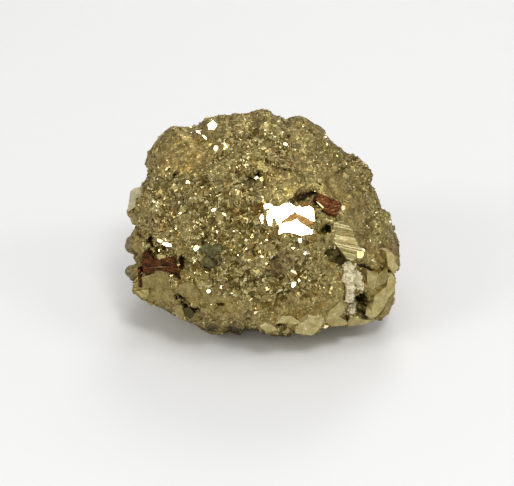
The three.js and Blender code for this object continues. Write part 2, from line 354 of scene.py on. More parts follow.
# flat crystal faces: the way they look (degrees round to the right and degrees up, or straight into
# the light's reflection), how proud they stand in mm, how bright their metal is, and their outlines
# on the leaning face in mm
mirror = {"look": "flash", "bright": 1, "piece": "mirror_steps"}
rusty = {"piece": "rusty_crystals"}
plates = {
    "mirror upper": {**mirror, "proud": 0.5, "outline": [
        (0.3, 4.4), (1.5, 4.6), (2.5, 3.8), (3.5, 3.8), (4.8, 4.4), (6.2, 4.7), (7.5, 4), (7.3, 2.5),
        (6.1, 1.7), (4.3, 0.3), (3.8, -0.5), (3.3, 0), (2.9, 1.1), (2.2, 1.1), (2, -0.7), (1.3, -0.5),
        (0.9, 0.8), (1, 2.9), (0.3, 3.5)]},
    "mirror upper right": {**mirror, "proud": 0.55, "outline": [
        (7.8, 3.7), (8.6, 4), (9.2, 3.5), (10.9, 4), (11.8, 3.3), (12.2, 0.4), (11.4, 0.6), (9.4, 1.7),
        (7.7, 2.4)]},
    "mirror lower": {**mirror, "proud": 0.9, "outline": [
        (4, -0.1), (6.5, 0.2), (8, 0.9), (9, -0.1), (10.1, -0.7), (11.3, -1.6), (10.9, -2.5), (9.1, -3),
        (7.6, -2.5), (6.5, -2.2), (4.5, -2.3), (3.7, -2.7), (3.9, -1.4)]},
    "mirror sliver": {**mirror, "proud": 0.45, "outline": [
        (-0.1, 2.2), (0.6, 1.1), (0.3, -0.5), (-0.3, 0), (-0.8, 1.3)]},
    "mirror ridge": {"look": (16, 42), "proud": 0.62, "bright": 0.25, "piece": "mirror_steps", "outline": [
        (4.3, 0.2), (6.1, 1.6), (7.5, 2.3), (9.4, 1.6), (11.6, 0.4), (11.9, -0.2), (10.2, -0.6),
        (9.1, 0), (8, 1), (6.5, 0.3)]},
    "mirror lintel": {"look": (20, 52), "proud": 0.5, "bright": 0.3, "piece": "mirror_steps", "outline": [
        (7.6, 4.2), (9, 3.7), (10.9, 4.1), (11.9, 3.2), (11.6, 4.4), (10.6, 5), (9, 4.9)]},
    "rusty by the mirrors": {**rusty, "look": (20, 36), "proud": 0.5, "bright": 0.5, "outline": [
        (13.1, 7.2), (18.4, 4.8), (17.2, 1.8), (14.3, 2.8), (12.4, 5.5)]},
    "rusty left": {**rusty, "look": (-22, 14), "proud": 0.2, "bright": 0.3, "outline": [
        (-28.4, -7.2), (-27.2, -6.3), (-26, -8.6), (-25.3, -8.9), (-20.2, -7.6), (-19.4, -10.4),
        (-18.7, -13.2), (-20.6, -12.8), (-22.3, -11.9), (-23.2, -11.4), (-24.6, -11), (-25.8, -11.6),
        (-27.8, -12.2), (-28.5, -10.2)]},
    "rusty thread": {**rusty, "look": (-40, 10), "proud": 0.55, "bright": 0.3, "outline": [
        (-29.6, -10.5), (-29, -10.7), (-28.8, -13), (-28.9, -15.2), (-29.3, -15), (-29.4, -12.8)]},
    "splinter": {"look": (-30, 12), "proud": 0.62, "bright": 0.42, "outline": [
        (-28.5, -6.4), (-28.1, -6.2), (-27.6, -8), (-27.3, -9.8), (-27.8, -9.6), (-28.2, -8)]},
    "long splinter": {"look": (-22, 14), "proud": 0.5, "bright": 0.36, "outline": [
        (-27, -9.2), (-23.6, -9), (-20.3, -8.4), (-20.3, -8.7), (-23.6, -9.3), (-27, -9.6)]},
    "short splinter": {"look": (-22, 14), "proud": 0.5, "bright": 0.3, "outline": [
        (-27, -10.6), (-24, -10.2), (-22.4, -10.3), (-24, -10.5)]},
    "rim blade": {"look": (32, 2), "proud": 0.5, "bright": 0.66, "outline": [
        (28.9, -6.7), (30.1, -6.7), (31.3, -8.1), (31.2, -9.2), (32, -10.4), (30.8, -12.1),
        (29.3, -10.1)]},
    "rim shield": {"look": (14, 3), "proud": 0.5, "bright": 0.68, "outline": [
        (24.4, -11), (26.8, -12.1), (29.2, -10.6), (29.4, -12.6), (28.8, -13.9), (26, -15.5),
        (24.9, -15.3), (24.5, -13.9)]},
    "rim lance": {"look": (28, 0), "proud": 0.6, "bright": 0.66, "outline": [
        (29.5, -12.7), (30.8, -12.5), (31.3, -13.3), (30.9, -16), (29.2, -18), (28.5, -20),
        (26.5, -22.2), (25.5, -21.6), (26.3, -17.1), (29.1, -14.9)]},
    "rim heel": {"look": (38, -4), "proud": 0.2, "bright": 0.36, "outline": [
        (29.3, -18.4), (30.7, -16.6), (30.6, -19), (29.6, -21.2), (28.2, -22.3), (27.3, -22)]},
    "sill right": {"look": (8, -6), "proud": 0.4, "bright": 0.72, "outline": [
        (20.1, -22.9), (20.6, -22.3), (26.3, -22.8), (22.9, -24), (20, -24.4)]},
    "sill tall": {"look": (10, 0), "proud": 0.4, "bright": 0.7, "outline": [
        (15.7, -20.5), (18.4, -19.1), (19.3, -19.6), (19.1, -20.9), (17.9, -22), (19.7, -23.2),
        (19.9, -24), (16.1, -24.4), (14.8, -23.2)]},
    "sill wide": {"look": (4, -4), "proud": 0.3, "bright": 0.76, "outline": [
        (7.6, -24.3), (10.7, -22.5), (13.9, -22.5), (14.3, -23.2), (13.6, -24.5), (12.9, -25.3),
        (11.6, -26.4), (9.4, -26.2), (7.6, -25.8)]},
    "sill left": {"look": (-6, 2), "proud": 0.3, "bright": 0.78, "outline": [
        (-0.8, -24.1), (0.6, -23.4), (2.6, -24.3), (3.3, -25.2), (1.3, -25.6), (-0.5, -24.8)]},
    "sill roof": {"look": (2, 4), "proud": 0.4, "bright": 0.72, "outline": [
        (2.8, -23.6), (4.7, -21.8), (6.9, -22), (8.9, -23.4), (7.8, -23.8), (5.6, -23.5)]},
    "sill peg": {"look": (0, 0), "proud": 0.5, "bright": 0.76, "outline": [
        (6, -24.1), (7, -24.3), (5.8, -26), (4.9, -25.6)]},
    "sill shade": {"look": (0, -14), "proud": 0.2, "bright": 0.4, "outline": [
        (2.8, -25.6), (4.6, -25.8), (6.8, -26.2), (6.2, -26.7), (2, -26.5), (0.5, -25.9)]},
    "left slab": {"look": (-22, 9), "proud": 0.5, "bright": 0.34, "outline": [
        (-29.2, -12.9), (-25.6, -11.9), (-24.9, -11.2), (-23.2, -11.5), (-22.3, -12.8), (-20.7, -16.3),
        (-20.8, -18.6), (-26.5, -18.3), (-30, -16.3), (-30.2, -14.6)]},
    "left slab chip": {"look": (-30, -2), "proud": 0.8, "bright": 0.62, "outline": [
        (-30, -16), (-27, -15.6), (-26.8, -16.6), (-27.6, -17.6), (-28.8, -17.2)]},
    "left shelf": {"look": (-14, 10), "proud": 0.4, "bright": 0.46, "outline": [
        (-19.7, -14.5), (-18, -13.8), (-16.4, -14.3), (-15.2, -15.8), (-14.5, -17.2), (-16.2, -17.6),
        (-18.8, -17.4), (-19.7, -16.5)]},
    "left shelf low": {"look": (-10, 14), "proud": 0.3, "bright": 0.42, "outline": [
        (-14.9, -15.4), (-13, -16), (-12.2, -17.6), (-13.4, -18.6), (-15, -17.8)]},
    "left wedge": {"look": (-16, 14), "proud": 0.7, "bright": 0.6, "outline": [
        (-25.4, -7.4), (-25.2, -8.8), (-20.9, -7.8)]},
    "pale sliver": {"look": (-16, 4), "proud": 0.3, "bright": 0.5, "outline": [
        (-20.2, -19.2), (-19.2, -19.4), (-18.7, -21.1), (-18.5, -22.1), (-19.4, -22.7), (-20.8, -21.3),
        (-20.7, -20)]},
    "dark block": {"look": (-8, 4), "proud": 0.35, "bright": -0.3, "outline": [
        (-18.6, -19.8), (-17.1, -19.8), (-16, -21.3), (-17.1, -22.7), (-18.6, -21.7)]},
    "striated knob": {"look": "flash", "proud": 0.95, "bright": 0.6, "outline": [
        (22.1, -6.8), (22.9, -6.1), (23.6, -6.6), (23.8, -7.4), (23.2, -8.4), (22.1, -8.2)]},
    "mirror bit, low": {**mirror, "proud": 0.5, "outline": [
        (8.4, -3.7), (9, -3.6), (9.1, -4.1), (8.5, -4.3)]},
    "mirror bit, left": {**mirror, "proud": 0.4, "outline": [
        (0.5, -3.4), (1.1, -3.3), (1.1, -4), (0.6, -4.1)]},
    "mirror bit, right": {**mirror, "proud": 0.5, "outline": [
        (10.9, -1.9), (11.7, -1.5), (11.6, -2.5), (11, -2.7)]},
    "pale chip": {"look": (8, 14), "proud": 0.55, "bright": 0.8, "outline": [
        (12.5, 5.1), (12.9, 5), (14.4, 3.7), (14.1, 3.4)]},
    "crown leaf": {"look": (-4, 24), "proud": 0.25, "bright": 0.5, "outline": [
        (-1.8, 14.2), (-0.4, 14.6), (1.4, 12.4), (0, 11.6), (-1.6, 13)]},
}

sparks = {  # small faces that throw the light straight back
    "proud": 0.42,
    "stray": 2.7,  # degrees off the flashing direction
    "seed": 11,
    "shape": [(-0.5, -0.3), (-0.1, -0.5), (0.5, -0.25), (0.4, 0.3), (0.05, 0.5), (-0.45, 0.3)],
    "spots": [  # place, length, width (mm) and turn (degrees)
        (-11.8, 23, 2.3, 2, 20), (-11, 17.6, 1.5, 1.5, 50), (-8.8, 18.2, 1.6, 0.45, -60),
        (-15.2, 21.4, 1.3, 0.5, -35), (-13.7, 20.2, 1.4, 0.5, -45), (-24.2, -4.2, 1.6, 0.8, -20),
        (-22.4, -5.1, 2.4, 1, -12), (-15.6, -5.8, 1.5, 1.3, 40), (-14.7, -13, 1.6, 0.8, -50),
        (7.2, -11.5, 1.8, 0.7, -30), (7.3, -14.3, 1.7, 0.9, 60), (0.1, -7.6, 1.5, 0.8, 20),
        (14.8, -24.1, 1.1, 1.3, 10), (-1.6, 10.7, 0.9, 0.8, 0), (18.9, 3.6, 1.2, 1.3, 30),
        (-12.8, -16, 1, 0.9, 15), (-17.6, 9.6, 1, 0.9, 0), (-25.5, 5.4, 1.4, 0.8, 55),
        (-19.6, 4.4, 1.4, 0.6, -70), (-11.6, 3.1, 1.3, 0.6, 15), (-9, 2, 1.2, 0.6, -35),
        (9.9, -7.1, 1, 0.6, 70), (-22.6, 12.8, 1, 0.5, 40), (5.2, 18.6, 0.8, 0.6, 0),
        (-5.2, 21.2, 0.9, 0.7, 10), (-9.6, -15.1, 1, 0.8, 0), (-1.7, -21, 1, 0.6, 40),
        (8.8, -4.2, 1.2, 0.7, 60), (-4, -6, 0.9, 0.7, 10), (23.4, -6.4, 0.9, 0.9, 0),
    ],
}

pits = {  # holes and cracks: place, half length, half width (mm), turn (degrees) and depth (mm)
    "above the mirrors": (11.1, 6.9, 1.9, 0.9, 12, 1.8),
    "above the mirrors, left": (8, 5.6, 2.2, 0.6, 16, 0.9),
    "beside the striated crystal": (15.2, -1.2, 1, 1.05, 20, 2.6),
    "top hollow": (-1.2, 11.3, 1, 0.6, -35, 1.3),
    "top hollow's floor": (-3.4, 9.6, 2.4, 1.4, 20, 0.6),
    "crown crack": (-6.8, 19.7, 1.4, 0.5, -18, 1.6),
    "left eye": (-26.9, -4, 0.85, 0.7, 25, 1.8),
    "left eye's tail": (-29.4, -3.1, 1.1, 0.3, -48, 1),
    "pinhole": (-20.6, 11.3, 0.6, 0.55, 0, 1.6),
    "right of the rusty left": (-19.1, -9.4, 0.55, 1.9, 4, 2),
    "under the left shelf": (-18.7, -18.5, 2.6, 0.55, -33, 2),
    "left shelf corner": (-20, -17.4, 0.8, 0.8, 0, 1.4),
    "behind the rim": (23.2, -17, 1.4, 0.8, 28, 0.9),
    "behind the rim, low": (24.8, -19.6, 1.5, 0.7, 10, 0.7),
    "over the sill": (19.6, -22.3, 1.1, 0.6, 20, 1.3),
    "over the right sill": (24, -21, 3.4, 0.7, -12, 1.2),
    "under the shield": (27.4, -15.9, 2.4, 0.45, 27, 1.2),
    "under the striated crystal": (24, -10.3, 2.8, 0.32, -21, 1.3),
    "sill gap": (4.4, -24.1, 1.2, 0.35, 0, 0.9),
    "belly": (2.8, -8, 1.4, 0.9, 20, 0.9),
    "belly left": (-5.4, -12.6, 0.9, 0.5, 0, 0.8),
    "foot left": (-10.2, -19.2, 0.9, 0.4, -10, 0.9),
    "crown right": (6, 20.6, 0.6, 0.5, 0, 0.8),
    "shoulder crack": (12.2, 13.8, 1, 0.4, -20, 0.7),
    "by the grey grains": (-12, -9.9, 2, 1.6, 0, 0.7),
    "crown groove": (2.5, 13.6, 2.4, 0.5, -22, 0.7),
    "crown groove, right": (5.4, 12.6, 2, 0.5, -16, 0.8),
    "foot": (-6.4, -24.7, 2.4, 0.5, -14, 1.2),
    "foot, left": (-14.4, -22.7, 1.3, 0.6, -10, 0.7),
}
pitEdge = (0.55, 1.15)  # where a pit's wall ends and starts, as shares of its half size
pitBlack = 1.4  # mm of depth that gives a pit its full painted shade

texture = {  # where the crust changes: place on the leaning face and reach in mm
    "fade": (0.4, 1.2),  # shares of the reach over which a spot fades
    "turning": (-0.3, 0.1),  # how far round the skin the patches below take over
    "patches": {"coarse": (11, -0.1, 0.45), "calm": (13, 0.05, 0.4)},  # spacing, and the noise they fill
    "coarse": [
        (-17, 7, 7), (-23, 0, 6), (-11, 3, 7), (-13, -4, 6), (-4, -4, 7), (-5, -13, 7), (5, -11, 7),
        (1, -17, 5), (10, -15, 5), (-14, -12, 5), (-9, 18, 5), (-1, 20, 5), (4, 17, 5), (-4, 12, 5),
        (9, -7, 5), (-2, 2, 6), (-24, 8, 5), (3, -14, 6), (8, -12, 5),
    ],
    "calm": [
        (-19, 19, 6), (-23, 15.5, 5), (-16, 15.5, 5), (-13.5, 20, 3.5), (22, 4, 5), (17, 9, 5),
        (7, 9, 3), (-8, -20, 4), (3, -20.5, 4), (12, -19, 4), (-17, -18, 3), (-31, -11.5, 2.6),
        (-31, -4.8, 2.6), (-23.6, -0.8, 2.4),
    ],
    # dark and darkest: spots of painted shade in hollows and under crystals, the darkest on the underside
    # of the foot
    "dark": [
        (-3.8, 10.2, 2.6), (-25, 10.7, 1.6), (-7.5, -24.8, 3.4), (-12, -24.8, 2.4), (-19.2, -19, 1.6),
        (-0.6, 23.4, 2.2), (13.8, -4.2, 1.4), (-15, 4.5, 1.6), (24, -18, 2), (2.2, -12, 2),
        (9.4, 6.1, 1.7), (15.7, -6.4, 2.2), (17.4, -8.6, 2.2),
    ],
    "darkest": [
        (-7.6, -25.3, 3), (-12, -25.4, 2), (-5, -26, 1.6), (1, -26.5, 1.4),
    ],
    "rusty": [
        (-28.4, -8.8, 2), (-29, -13.6, 1.6), (9.4, 1.4, 2.2), (5.2, 11.2, 1), (12, 4.6, 1.2),
        (-31, -6.6, 1), (-27.8, 14.1, 1), (31.9, -5.4, 2.4), (32.1, -8.4, 1.6), (31.6, -3.4, 1.2),
    ],
}

flankFaces = {  # flat faces round the sides and back
    "count": 150,
    "size": (0.9, 3.4),  # mm from middle to corner
    "smallness": 2.2,  # the higher, the more of them are small
    "sides": (4, 7),  # from four to six
    "reach": (0.75, 1.1),  # shares of the size at which the corners lie
    "stray": 0.25,  # share of a side that a corner strays round the middle
    "narrow": 0.7,  # breadth as a share of the length
    "tilt": 22,  # degrees off the skin
    "leaning": (0.5, 1.2),  # shares of that tilt
    "proud": (0.15, 0.5),  # mm
    "bright": (0.3, 0.66),
    "clusters": 16,
    "turnedAway": -0.3,  # how far round the skin they start
    "above": 4 * mm,  # the height they start at
    "lowest": 1.5 * mm,  # the lowest that a corner may be
    "seed": 5,
}

faceFit = {
    "settle": 0.6,  # how far a face lies down on the skin
    "facing": 0.4,  # the least it turns towards the viewer
    "felt": 0.7,  # share of the way to its corners where it feels for the skin
    "turnBack": 1.5,  # how strongly a face that looks too far away is turned back
    "near": 8 * mm,  # how far from a face's middle its skin is looked for
    "skinUnder": 0.12 * mm,  # the skin under a face is pressed at least this far below it
    "skinOver": 1.8 * mm,  # skin that rises further than this over a face is left alone
    "hollow": (0.6 * mm, 4 * mm),  # skin sunk past the first is raised to it, unless past the second
    "bare": 1.2 * mm,  # no crystals this near a face
}


def flatBasis(out):
    # two directions along a plane: level, and up it
    level = Vector((0, 0, 1)).cross(out)
    level = level.normalized() if level.length > 1e-6 else rightward
    return level, out.cross(level)


class Face:
    # a flat crystal face: its corners anticlockwise round its outward direction
    def __init__(self, corners, out, bright=0.5, piece="crystal_plates"):
        self.out = Vector(out)
        self.middle = sum(corners, Vector()) / len(corners)
        self.level, self.up = flatBasis(self.out)
        self.bright = bright
        self.piece = piece
        flat = [((c - self.middle).dot(self.level), (c - self.middle).dot(self.up)) for c in corners]
        turn = sum(a[0] * b[1] - b[0] * a[1] for a, b in zip(flat, flat[1:] + flat[:1]))
        self.flat = np.array(flat if turn > 0 else flat[::-1])

    def place(self, a, b, h):
        return self.middle + self.level * float(a) + self.up * float(b) + self.out * float(h)

    def covered(self, points, share=1.0):
        # the points near by that lie over or under the outline, and how high above the plane
        offset = points - np.array(self.middle)
        near = np.flatnonzero(np.linalg.norm(offset, axis=1) < faceFit["near"])
        a, b, height = (offset[near] @ np.array(way) for way in (self.level, self.up, self.out))
        sides = self.flat * share
        inside = np.zeros(len(near), bool)
        for (x0, y0), (x1, y1) in zip(sides, np.roll(sides, -1, axis=0)):
            crosses = (y0 > b) != (y1 > b)
            inside ^= crosses & (a < (x1 - x0) * (b - y0) / ((y1 - y0) or tiny) + x0)
        return near[inside], height[inside]


def layFace(outline, out, proud, *finish):
    # a flat face with this outline, on a plane that stands proud of the skin
    spot, _ = touch(*np.mean(outline, axis=0))
    spot = spot + out * proud * mm
    corners = []
    for across, along in outline:
        line = leaning(across, along) - eye
        corners.append(eye + line * ((spot - eye).dot(out) / line.dot(out)))
    return Face(corners, out, *finish)


def settled(outline, look):
    # the way a face looks once it lies down on the skin, without turning too far from the viewer
    middle = np.mean(outline, axis=0)
    felt, settle = faceFit["felt"], faceFit["settle"]
    outs = [touch(*(middle + (np.array(corner) - middle) * felt))[1] for corner in outline]
    out = (sum(outs, Vector()).normalized() * settle + look * (1 - settle)).normalized()
    short = faceFit["facing"] - out.dot(toViewer)
    return (out + toViewer * max(0, short) * faceFit["turnBack"]).normalized()


def frontFaces():
    made = []
    for p in plates.values():
        out = flashing if p["look"] == "flash" else settled(p["outline"], direction(*p["look"]))
        piece = p.get("piece", "crystal_plates")
        made.append(layFace(p["outline"], out, p["proud"], p["bright"], piece))
    return made


def sparkFaces():
    rng = np.random.default_rng(sparks["seed"])
    made = []
    for across, along, length, breadth, turn in sparks["spots"]:
        outline = []
        for corner in sparks["shape"]:
            a, b = (corner + rng.uniform(-0.1, 0.1, 2)) * (length, breadth)
            a, b = turned(a, b, turn)
            outline.append((across + a, along + b))
        lean = Vector(rng.normal(size=3)) * math.radians(sparks["stray"])
        made.append(layFace(outline, (flashing + lean).normalized(), sparks["proud"], 1, "bright_flecks"))
    return made


def scatterOn(points, triangles, weight, count, rng):
    # spots spread over the triangles by area times weight, and the triangles they lie in
    a, b, c = (points[triangles[:, i]] for i in range(3))
    share = np.linalg.norm(np.cross(b - a, c - a), axis=1) * weight[triangles].mean(axis=1)
    picked = rng.choice(len(triangles), count, p=share / share.sum())
    u, v = rng.random((2, count))
    over = u + v > 1
    u[over], v[over] = 1 - u[over], 1 - v[over]
    spots = a[picked] + (b - a)[picked] * u[:, None] + (c - a)[picked] * v[:, None]
    return spots, picked


def hiddenFaces():
    # faces round the sides and back, in clusters that share a lean
    rng = np.random.default_rng(flankFaces["seed"])
    away = skinSeen < flankFaces["turnedAway"]
    weight = np.where(away & (skinPoints[:, 2] > flankFaces["above"]), 1.0, 0.0)
    homes, _ = scatterOn(skinPoints, skinTriangles, weight, flankFaces["clusters"], rng)
    leans = unit(rng.normal(size=homes.shape))
    spots, picked = scatterOn(skinPoints, skinTriangles, weight, flankFaces["count"], rng)
    lean = math.tan(math.radians(flankFaces["tilt"]))
    low, high = flankFaces["size"]
    made = []
    for spot, triangle in zip(spots, picked):
        home = np.argmin(np.linalg.norm(homes - spot, axis=1))
        out = unit(skinOut[skinTriangles[triangle]].mean(axis=0))
        out = unit(out + leans[home] * lean * rng.uniform(*flankFaces["leaning"]))
        size = low + (high - low) * rng.random() ** flankFaces["smallness"]
        level, up = flatBasis(Vector(out))
        middle = Vector(spot) + Vector(out) * rng.uniform(*flankFaces["proud"]) * mm
        turn = rng.random() * math.tau
        sides = int(rng.integers(*flankFaces["sides"]))
        stray, narrow = flankFaces["stray"], flankFaces["narrow"]
        corners = []
        for i in range(sides):
            angle = turn + (i + rng.uniform(-stray, stray)) * math.tau / sides
            reach = size * rng.uniform(*flankFaces["reach"]) * mm
            corners.append(middle + level * math.cos(angle) * reach + up * math.sin(angle) * reach * narrow)
        if min(c.z for c in corners) > flankFaces["lowest"] and insideRim(corners):
            made.append(Face(corners, Vector(out), rng.uniform(*flankFaces["bright"])))
    return made


faces = frontFaces() + sparkFaces() + hiddenFaces()
print("flat faces laid out:", len(faces))


def noiseAt(points, spacing, seed):
    # about -1 to 1 at every point, in lumps this many mm apart
    shift = Vector((seed * 17.3, seed * 5.1, seed * 9.7))
    return np.array([noise.noise(Vector(p) / (spacing * mm) + shift) for p in points])


def nearSpots(points, spots):
    # 1 at any of the spots on the leaning face, falling to 0 past its reach
    total = np.zeros(len(points))
    for across, along, reach in spots:
        home, _ = touch(across, along)
        gap = np.linalg.norm(points - np.array(home), axis=1) / (reach * mm)
        total = np.maximum(total, 1 - smoothStep(*texture["fade"], gap))
    return total


def crustPlan():
    # how coarse and how calm the crust is at every point of the skin
    behind = 1 - smoothStep(*texture["turning"], skinSeen)
    found = []
    for seed, (name, (spacing, low, high)) in enumerate(texture["patches"].items(), 1):
        patches = behind * smoothStep(low, high, noiseAt(skinPoints, spacing, seed))
        found.append(np.maximum(nearSpots(skinPoints, texture[name]), patches))
    coarse, calm = found
    return np.clip(0.25 + 0.75 * coarse - 0.2 * calm, 0.05, 1), calm


coarse, calm = crustPlan()


def treeOf(spots):
    tree = KDTree(len(spots))
    for i, spot in enumerate(spots):
        tree.insert(spot, i)
    tree.balance()
    return tree


def nearestOf(tree, points):
    return np.array([tree.find(p)[1] for p in points])


def facetHeights():
    # every point moves onto the tilted plane of its nearest seed, which makes a crust of flat facets
    rng = np.random.default_rng(skin["facetSeed"])
    count = int(skin["area"] / skin["facetSpacing"] ** 2)
    spots, picked = scatterOn(skinPoints, skinTriangles, 1.6 - coarse, count, rng)
    outs = unit(skinOut[skinTriangles[picked]].mean(axis=1))
    lean = math.tan(math.radians(skin["facetTilt"]))
    uneven = 0.3 + 0.7 * coarse[skinTriangles[picked]].mean(axis=1)
    looks = unit(outs + rng.normal(size=outs.shape) * lean * 0.6 * uneven[:, None])
    nearest = nearestOf(treeOf(spots), skinPoints)
    look, seed = looks[nearest], spots[nearest]
    rise = ((seed - skinPoints) * look).sum(axis=1) / np.maximum((skinOut * look).sum(axis=1), 0.3)
    step = rng.uniform(*skin["facetStep"], count)[nearest] * mm
    tone = rng.random(count)[nearest]
    return np.clip(rise + step, -skin["facetDrop"], skin["facetDrop"]), tone


def pitDepths():
    # how deep every point sinks away from the viewer, and how far it is inside a pit, which sets its
    # painted shade
    across, along = faceOn(skinPoints)
    sink, inside = np.zeros((2, len(skinPoints)))
    for midAcross, midAlong, half, narrow, turn, depth in pits.values():
        a, b = turned(across - midAcross, along - midAlong, -turn)
        gap = np.hypot(a / half, b / narrow)
        here = (1 - smoothStep(*pitEdge, gap)) * (skinSeen > 0)
        sink = np.maximum(sink, here * depth * mm)
        inside = np.maximum(inside, here * min(1, depth / pitBlack))
    return sink, inside


grime = {  # how dark the painted shade is in hollows, pits and shaded spots
    "sunk": 0.45,  # painted shade between the knobs
    "hollows": (0.1, 0.55),  # how deep that starts and fills
    "dark": 0.58,
    "darkest": 0.8,
}


def growLump():
    rise, tone = facetHeights()
    for spacing, height in (skin["swells"], skin["knobs"], skin["grit"]):
        swell = noiseAt(skinPoints, spacing, height * 10) * 2 * height * mm
        rise = rise + swell * (1 - skin["calming"] * calm)
    rise *= smoothStep(*skin["footFade"], skinPoints[:, 2])
    points = fitRim(skinPoints + skinOut * rise[:, None])
    spacing, height = skin["knobs"]
    sunk = smoothStep(*grime["hollows"], -noiseAt(skinPoints, spacing, height * 10))
    sink, inside = pitDepths()
    points += unit(skinPoints - np.array(eye)) * sink[:, None]
    # painted shade: the low places between the knobs, the pits and the dark spots are darkened
    shadeAmount = np.maximum(grime["sunk"] * sunk, inside)
    for name in ("dark", "darkest"):
        shadeAmount = np.maximum(shadeAmount, grime[name] * nearSpots(skinPoints, texture[name]))
    under, over, (shallow, deep) = (faceFit[key] for key in ("skinUnder", "skinOver", "hollow"))
    for face in faces:
        index, height = face.covered(points)
        high = (height > -under) & (height < over)
        low = (height < -shallow) & (height > -deep) & (skinSeen[index] > 0.2)
        for chosen, gap in ((high, under), (low, shallow)):
            points[index[chosen]] -= np.outer(height[chosen] + gap, np.array(face.out))
    points[:, 2] = np.maximum(points[:, 2], 0)
    return points, tone, shadeAmount


lumpPoints, lumpTone, lumpPaintedShade = growLump()
lumpOut = outwardOf(lumpPoints, skinTriangles)
lumpTree = BVHTree.FromPolygons(lumpPoints.tolist(), skinTriangles.tolist())


stains = {
    "spacing": 5.5,  # mm
    "seed": 4,
    "fills": (0.32, 0.6),  # the noise that they fill
    "strength": 0.55,
    "rusty": 0.9,  # strength at the rusty spots
}


def rustAt(points):
    found = smoothStep(*stains["fills"], noiseAt(points, stains["spacing"], stains["seed"]))
    return np.maximum(found * stains["strength"], nearSpots(points, texture["rusty"]) * stains["rusty"])


def makeLump():
    mesh = meshFrom("pyrite_lump", lumpPoints, skinTriangles)
    addLayer(mesh, "tone", 0.15 + 0.5 * lumpTone)
    addLayer(mesh, "grime", lumpPaintedShade)
    addLayer(mesh, "rust", rustAt(lumpPoints))
    addLayer(mesh, "calm", calm)
    return makeObject("pyrite_lump", mesh)


lump = makeLump()
print("lump grown:", len(skinTriangles), "triangles")

# rounded lumps: the place of each ball on the leaning face, its radius, and how far it stands out of
# the skin where that is its own, all in mm
grainLumps = {
    "pale_matrix": {
        "spots": [(20.6, -9.9, 1.2), (19.6, -10.9, 1.4), (19.5, -12.9, 1.7), (21.4, -12.9, 1.7),
                  (22.4, -14.6, 1.3), (20.2, -15.4, 1.4), (20.2, -17.4, 1.2, 1.6), (20.7, -19, 1.4, 2.2),
                  (20.6, -20.4, 1.2, 2.2)],
        "stands": 1.1,
        "bare": 1,  # shares of the radius that crystals keep away
        "voxel": 0.17 * mm, "rough": (0.5, 0.26), "facet": 0.22, "seed": 51},
    "grey_grains": {
        "spots": [(-12.9, -6, 1.5), (-10.8, -6.1, 1.25), (-12.6, -9, 1.5), (-11.7, -7.6, 0.7)],
        "stands": 1.15, "bare": 1,
        "voxel": 0.2 * mm, "rough": (1.1, 0.1), "facet": 0.1, "seed": 52},
    "smooth_nodules": {
        "spots": [(-31.1, -5.4, 1.5), (-31, -4.3, 1.3), (-30.8, -11.5, 1.6), (-30.3, -12.6, 1.2)],
        "stands": 0.32, "bare": 1.12,
        "voxel": 0.24 * mm, "rough": (1.6, 0.12), "facet": 0.04, "seed": 53},
}


def ballsOf(plan):
    # the balls that a rounded lump is run together from: middle and radius
    for across, along, radius, *own in plan["spots"]:
        stands = own[0] if own else plan["stands"]
        spots = [touch(across, along, tree)[0] for tree in (lumpTree, skinTree)]
        spot = min(spots, key=lambda v: (v - eye).length)
        yield spot + (eye - spot).normalized() * (stands - radius) * mm, radius * mm


def makeGrainLumps(name, plan):
    # balls run together, roughened, as one closed skin
    work = bmesh.new()
    for middle, radius in ballsOf(plan):
        ball = bmesh.ops.create_icosphere(work, subdivisions=3, radius=radius)
        bmesh.ops.translate(work, verts=ball["verts"], vec=middle)
    mesh = bpy.data.meshes.new(name)
    work.to_mesh(mesh)
    work.free()
    points, triangles = evenMesh(mesh, plan["voxel"])
    outs = outwardOf(points, triangles)
    spacing, height = plan["rough"]
    rng = np.random.default_rng(plan["seed"])
    pointsPerChip = 14
    seeds = rng.choice(len(points), len(points) // pointsPerChip, replace=False)
    chips = nearestOf(treeOf(points[seeds]), points)
    rise = noiseAt(points, spacing, plan["seed"]) * height * 2
    rise += noiseAt(points, spacing / 2.7, 7) * height
    rise += rng.uniform(-0.5, 0.5, chips.max() + 1)[chips] * plan["facet"]
    points += outs * (rise * mm)[:, None]
    rough = meshFrom(name, points, triangles)
    addLayer(rough, "tone", rng.random(chips.max() + 1)[chips])
    print(name + ":", len(triangles), "triangles")
    return makeObject(name, rough)


grainObjects = {name: makeGrainLumps(name, plan) for name, plan in grainLumps.items()}

